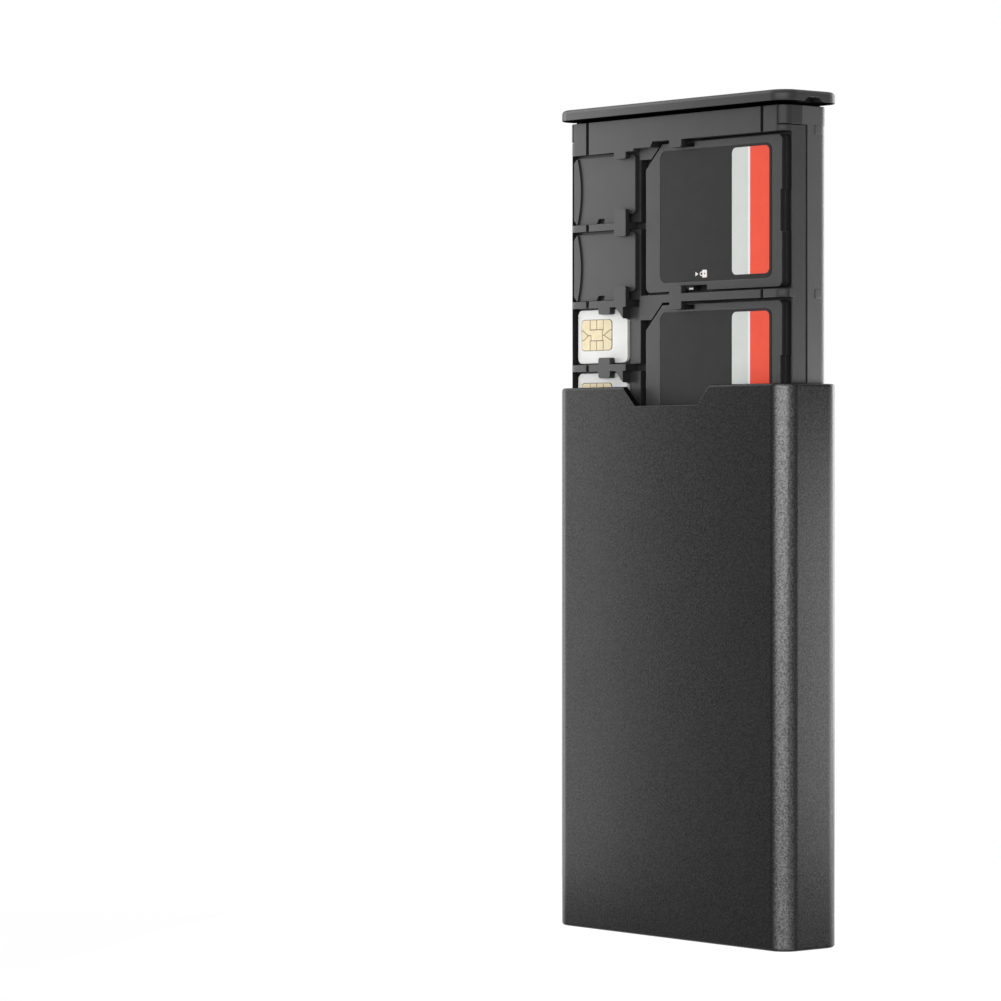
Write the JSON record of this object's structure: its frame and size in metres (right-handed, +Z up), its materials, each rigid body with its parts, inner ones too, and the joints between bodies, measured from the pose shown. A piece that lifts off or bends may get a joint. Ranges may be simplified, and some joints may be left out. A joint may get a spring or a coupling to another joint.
{
  "type": "memory card case",
  "caption": "Flat metal sleeve with a pull-out plastic tray that holds memory cards, small phone cards and an eject pin in pockets under retaining tabs.",
  "frame": {"origin": "centre of the sleeve's bottom end", "axes": "+Z up along the sleeve towards the cap, -Y towards the cards' faces, +X to the right seen from the front"},
  "size_m": [0.055, 0.013, 0.135],
  "materials": {
    "anodised_aluminium": "bead-blasted and dark anodised",
    "tray_plastic": "satin moulded",
    "card_shell": "fine matt moulded",
    "card_label": "satin printed film with a plain white and coral block",
    "card_lock": "moulded",
    "card_board": "lacquered circuit board",
    "micro_shell": "fine matt moulded",
    "sim_plastic": "smooth white",
    "contact_gold": "gold flashed",
    "pin_steel": "satin"
  },
  "bodies": {
    "sleeve": {"sleeve": "anodised_aluminium"},
    "tray": {"pull_cap": "tray_plastic", "rear_frame": "tray_plastic", "front_leaf": "tray_plastic", "sd_card_1_front_shell": "card_shell", "sd_card_1_back_shell": "card_shell", "sd_card_1_board": "card_board", "sd_card_1_label": "card_label", "sd_card_2_front_shell": "card_shell", "sd_card_2_back_shell": "card_shell", "sd_card_2_board": "card_board", "sd_card_2_label": "card_label", "sd_card_3_front_shell": "card_shell", "sd_card_3_back_shell": "card_shell", "sd_card_3_board": "card_board", "sd_card_3_label": "card_label", "micro_sd_card_1": "micro_shell", "sim_card_1": "sim_plastic", "sim_card_1_contacts": "contact_gold", "micro_sd_card_2": "micro_shell", "sim_card_2": "sim_plastic", "sim_card_2_contacts": "contact_gold", "eject_pin": "pin_steel"},
    "sd_card_1_lock": {"sd_card_1_lock": "card_lock"},
    "sd_card_2_lock": {"sd_card_2_lock": "card_lock"},
    "sd_card_3_lock": {"sd_card_3_lock": "card_lock"}
  },
  "joints": [
    {"name": "tray_slide", "type": "slide", "parent": "sleeve", "child": "tray", "axis": [0, 0, 1], "range_m": [-0.04415, 0.0428]},
    {"name": "sd_card_1_lock_slide", "type": "slide", "parent": "tray", "child": "sd_card_1_lock", "axis": [1, 0, 0], "range_m": [0, 0.00345]},
    {"name": "sd_card_2_lock_slide", "type": "slide", "parent": "tray", "child": "sd_card_2_lock", "axis": [1, 0, 0], "range_m": [0, 0.00345]},
    {"name": "sd_card_3_lock_slide", "type": "slide", "parent": "tray", "child": "sd_card_3_lock", "axis": [1, 0, 0], "range_m": [0, 0.00345]}
  ]
}
